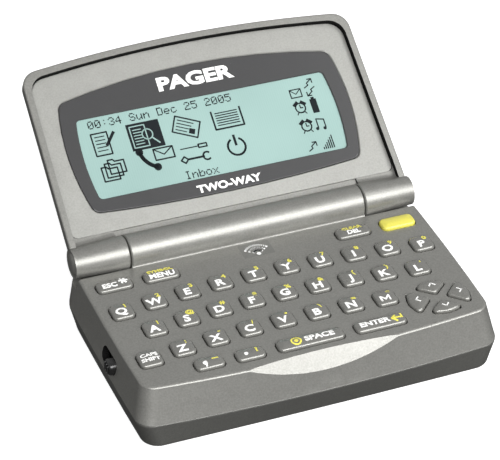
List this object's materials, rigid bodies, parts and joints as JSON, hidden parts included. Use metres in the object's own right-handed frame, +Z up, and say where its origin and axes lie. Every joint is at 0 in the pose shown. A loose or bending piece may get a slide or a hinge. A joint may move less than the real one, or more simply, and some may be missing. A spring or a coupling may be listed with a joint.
{
  "type": "pager",
  "caption": "Clamshell text pager: a flip-up lid with a display on a barrel hinge, over a base with a letter keyboard, a direction pad, a side switch and a sliding battery door.",
  "frame": {"origin": "centre of the flat underside of the case, on the surface it rests on", "axes": "+X to the right of the keyboard, +Y to the back where the hinge is, +Z up out of the keys"},
  "size_m": [0.0864, 0.0889, 0.0435],
  "materials": {
    "case_silver": "silver-grey metallic paint, satin",
    "case_dark": "darker grey paint, satin",
    "bezel_silver": "silver-grey metallic paint, satin",
    "key_grey": "grey paint, semi-gloss, printed legends",
    "key_yellow": "moulded yellow, semi-gloss",
    "lens_smoke": "gloss, dark printed border around a clear window",
    "display_glass": "liquid crystal display, pale blue-green",
    "switch_black": "satin",
    "cell_jacket": "gloss sleeve",
    "plated_steel": "nickel plated",
    "tinned_steel": "tinned",
    "screw_steel": "blackened",
    "tungsten": "sintered",
    "board_green": "solder mask",
    "copper": "bright",
    "polyimide": "amber film",
    "silicone": "matt"
  },
  "bodies": {
    "base": {"upper_case": "case_silver", "lower_case": "case_dark", "battery_cell": "cell_jacket", "battery_contacts": "plated_steel", "main_board": "board_green", "radio_shield": "tinned_steel", "antenna": "copper", "keypad_mat": "silicone", "vibrator_motor": "plated_steel", "hinge_pins": "plated_steel", "flex_circuit": "polyimide", "case_screws": "screw_steel"},
    "lid": {"lid_shell": "case_silver", "lid_bezel": "bezel_silver", "lens": "lens_smoke", "display": "display_glass", "hinge_caps": "case_silver", "lid_screws": "screw_steel"},
    "battery_door": {"battery_door": "case_dark"},
    "vibrator_weight": {"vibrator_weight": "tungsten"},
    "side_switch": {"side_switch": "switch_black"},
    "key_q": {"key_q": "key_grey"},
    "key_w": {"key_w": "key_grey"},
    "key_e": {"key_e": "key_grey"},
    "key_r": {"key_r": "key_grey"},
    "key_t": {"key_t": "key_grey"},
    "key_y": {"key_y": "key_grey"},
    "key_u": {"key_u": "key_grey"},
    "key_i": {"key_i": "key_grey"},
    "key_o": {"key_o": "key_grey"},
    "key_p": {"key_p": "key_grey"},
    "key_a": {"key_a": "key_grey"},
    "key_s": {"key_s": "key_grey"},
    "key_d": {"key_d": "key_grey"},
    "key_f": {"key_f": "key_grey"},
    "key_g": {"key_g": "key_grey"},
    "key_h": {"key_h": "key_grey"},
    "key_j": {"key_j": "key_grey"},
    "key_k": {"key_k": "key_grey"},
    "key_l": {"key_l": "key_grey"},
    "key_z": {"key_z": "key_grey"},
    "key_x": {"key_x": "key_grey"},
    "key_c": {"key_c": "key_grey"},
    "key_v": {"key_v": "key_grey"},
    "key_b": {"key_b": "key_grey"},
    "key_n": {"key_n": "key_grey"},
    "key_m": {"key_m": "key_grey"},
    "key_escape": {"key_escape": "key_grey"},
    "key_menu": {"key_menu": "key_grey"},
    "key_delete": {"key_delete": "key_grey"},
    "key_message": {"key_message": "key_yellow"},
    "key_shift": {"key_shift": "key_grey"},
    "key_comma": {"key_comma": "key_grey"},
    "key_period": {"key_period": "key_grey"},
    "key_space": {"key_space": "key_grey"},
    "key_enter": {"key_enter": "key_grey"},
    "nav_up": {"nav_up": "key_grey"},
    "nav_left": {"nav_left": "key_grey"},
    "nav_down": {"nav_down": "key_grey"},
    "nav_right": {"nav_right": "key_grey"}
  },
  "joints": [
    {"name": "lid_hinge", "type": "hinge", "parent": "base", "child": "lid", "pos_m": [0, 0.021, 0.016], "axis": [1, 0, 0], "range_deg": [0, 146.6]},
    {"name": "switch_slide", "type": "slide", "parent": "base", "child": "side_switch", "axis": [0, 1, 0], "range_m": [0, 0.004]},
    {"name": "door_slide", "type": "slide", "parent": "base", "child": "battery_door", "axis": [0, 1, 0], "range_m": [0, 0.006]},
    {"name": "vibrator_spin", "type": "hinge", "parent": "base", "child": "vibrator_weight", "pos_m": [0.0338, 0.019, 0.0058], "axis": [1, 0, 0], "continuous": true},
    {"name": "key_q_press", "type": "slide", "parent": "base", "child": "key_q", "axis": [0, 0, -1], "range_m": [0, 0.0006], "stiffness_N_per_m": 600},
    {"name": "key_w_press", "type": "slide", "parent": "base", "child": "key_w", "axis": [0, 0, -1], "range_m": [0, 0.0006], "stiffness_N_per_m": 600},
    {"name": "key_e_press", "type": "slide", "parent": "base", "child": "key_e", "axis": [0, 0, -1], "range_m": [0, 0.0006], "stiffness_N_per_m": 600},
    {"name": "key_r_press", "type": "slide", "parent": "base", "child": "key_r", "axis": [0, 0, -1], "range_m": [0, 0.0006], "stiffness_N_per_m": 600},
    {"name": "key_t_press", "type": "slide", "parent": "base", "child": "key_t", "axis": [0, 0, -1], "range_m": [0, 0.0006], "stiffness_N_per_m": 600},
    {"name": "key_y_press", "type": "slide", "parent": "base", "child": "key_y", "axis": [0, 0, -1], "range_m": [0, 0.0006], "stiffness_N_per_m": 600},
    {"name": "key_u_press", "type": "slide", "parent": "base", "child": "key_u", "axis": [0, 0, -1], "range_m": [0, 0.0006], "stiffness_N_per_m": 600},
    {"name": "key_i_press", "type": "slide", "parent": "base", "child": "key_i", "axis": [0, 0, -1], "range_m": [0, 0.0006], "stiffness_N_per_m": 600},
    {"name": "key_o_press", "type": "slide", "parent": "base", "child": "key_o", "axis": [0, 0, -1], "range_m": [0, 0.0006], "stiffness_N_per_m": 600},
    {"name": "key_p_press", "type": "slide", "parent": "base", "child": "key_p", "axis": [0, 0, -1], "range_m": [0, 0.0006], "stiffness_N_per_m": 600},
    {"name": "key_a_press", "type": "slide", "parent": "base", "child": "key_a", "axis": [0, 0, -1], "range_m": [0, 0.0006], "stiffness_N_per_m": 600},
    {"name": "key_s_press", "type": "slide", "parent": "base", "child": "key_s", "axis": [0, 0, -1], "range_m": [0, 0.0006], "stiffness_N_per_m": 600},
    {"name": "key_d_press", "type": "slide", "parent": "base", "child": "key_d", "axis": [0, 0, -1], "range_m": [0, 0.0006], "stiffness_N_per_m": 600},
    {"name": "key_f_press", "type": "slide", "parent": "base", "child": "key_f", "axis": [0, 0, -1], "range_m": [0, 0.0006], "stiffness_N_per_m": 600},
    {"name": "key_g_press", "type": "slide", "parent": "base", "child": "key_g", "axis": [0, 0, -1], "range_m": [0, 0.0006], "stiffness_N_per_m": 600},
    {"name": "key_h_press", "type": "slide", "parent": "base", "child": "key_h", "axis": [0, 0, -1], "range_m": [0, 0.0006], "stiffness_N_per_m": 600},
    {"name": "key_j_press", "type": "slide", "parent": "base", "child": "key_j", "axis": [0, 0, -1], "range_m": [0, 0.0006], "stiffness_N_per_m": 600},
    {"name": "key_k_press", "type": "slide", "parent": "base", "child": "key_k", "axis": [0, 0, -1], "range_m": [0, 0.0006], "stiffness_N_per_m": 600},
    {"name": "key_l_press", "type": "slide", "parent": "base", "child": "key_l", "axis": [0, 0, -1], "range_m": [0, 0.0006], "stiffness_N_per_m": 600},
    {"name": "key_z_press", "type": "slide", "parent": "base", "child": "key_z", "axis": [0, 0, -1], "range_m": [0, 0.0006], "stiffness_N_per_m": 600},
    {"name": "key_x_press", "type": "slide", "parent": "base", "child": "key_x", "axis": [0, 0, -1], "range_m": [0, 0.0006], "stiffness_N_per_m": 600},
    {"name": "key_c_press", "type": "slide", "parent": "base", "child": "key_c", "axis": [0, 0, -1], "range_m": [0, 0.0006], "stiffness_N_per_m": 600},
    {"name": "key_v_press", "type": "slide", "parent": "base", "child": "key_v", "axis": [0, 0, -1], "range_m": [0, 0.0006], "stiffness_N_per_m": 600},
    {"name": "key_b_press", "type": "slide", "parent": "base", "child": "key_b", "axis": [0, 0, -1], "range_m": [0, 0.0006], "stiffness_N_per_m": 600},
    {"name": "key_n_press", "type": "slide", "parent": "base", "child": "key_n", "axis": [0, 0, -1], "range_m": [0, 0.0006], "stiffness_N_per_m": 600},
    {"name": "key_m_press", "type": "slide", "parent": "base", "child": "key_m", "axis": [0, 0, -1], "range_m": [0, 0.0006], "stiffness_N_per_m": 600},
    {"name": "key_escape_press", "type": "slide", "parent": "base", "child": "key_escape", "axis": [0, 0, -1], "range_m": [0, 0.0006], "stiffness_N_per_m": 600},
    {"name": "key_menu_press", "type": "slide", "parent": "base", "child": "key_menu", "axis": [0, 0, -1], "range_m": [0, 0.0006], "stiffness_N_per_m": 600},
    {"name": "key_delete_press", "type": "slide", "parent": "base", "child": "key_delete", "axis": [0, 0, -1], "range_m": [0, 0.0006], "stiffness_N_per_m": 600},
    {"name": "key_message_press", "type": "slide", "parent": "base", "child": "key_message", "axis": [0, 0, -1], "range_m": [0, 0.0006], "stiffness_N_per_m": 600},
    {"name": "key_shift_press", "type": "slide", "parent": "base", "child": "key_shift", "axis": [0, 0, -1], "range_m": [0, 0.0006], "stiffness_N_per_m": 600},
    {"name": "key_comma_press", "type": "slide", "parent": "base", "child": "key_comma", "axis": [0, 0, -1], "range_m": [0, 0.0006], "stiffness_N_per_m": 600},
    {"name": "key_period_press", "type": "slide", "parent": "base", "child": "key_period", "axis": [0, 0, -1], "range_m": [0, 0.0006], "stiffness_N_per_m": 600},
    {"name": "key_space_press", "type": "slide", "parent": "base", "child": "key_space", "axis": [0, 0, -1], "range_m": [0, 0.0006], "stiffness_N_per_m": 600},
    {"name": "key_enter_press", "type": "slide", "parent": "base", "child": "key_enter", "axis": [0, 0, -1], "range_m": [0, 0.0006], "stiffness_N_per_m": 600},
    {"name": "nav_up_press", "type": "slide", "parent": "base", "child": "nav_up", "axis": [0, 0, -1], "range_m": [0, 0.0006], "stiffness_N_per_m": 600},
    {"name": "nav_left_press", "type": "slide", "parent": "base", "child": "nav_left", "axis": [0, 0, -1], "range_m": [0, 0.0006], "stiffness_N_per_m": 600},
    {"name": "nav_down_press", "type": "slide", "parent": "base", "child": "nav_down", "axis": [0, 0, -1], "range_m": [0, 0.0006], "stiffness_N_per_m": 600},
    {"name": "nav_right_press", "type": "slide", "parent": "base", "child": "nav_right", "axis": [0, 0, -1], "range_m": [0, 0.0006], "stiffness_N_per_m": 600}
  ]
}
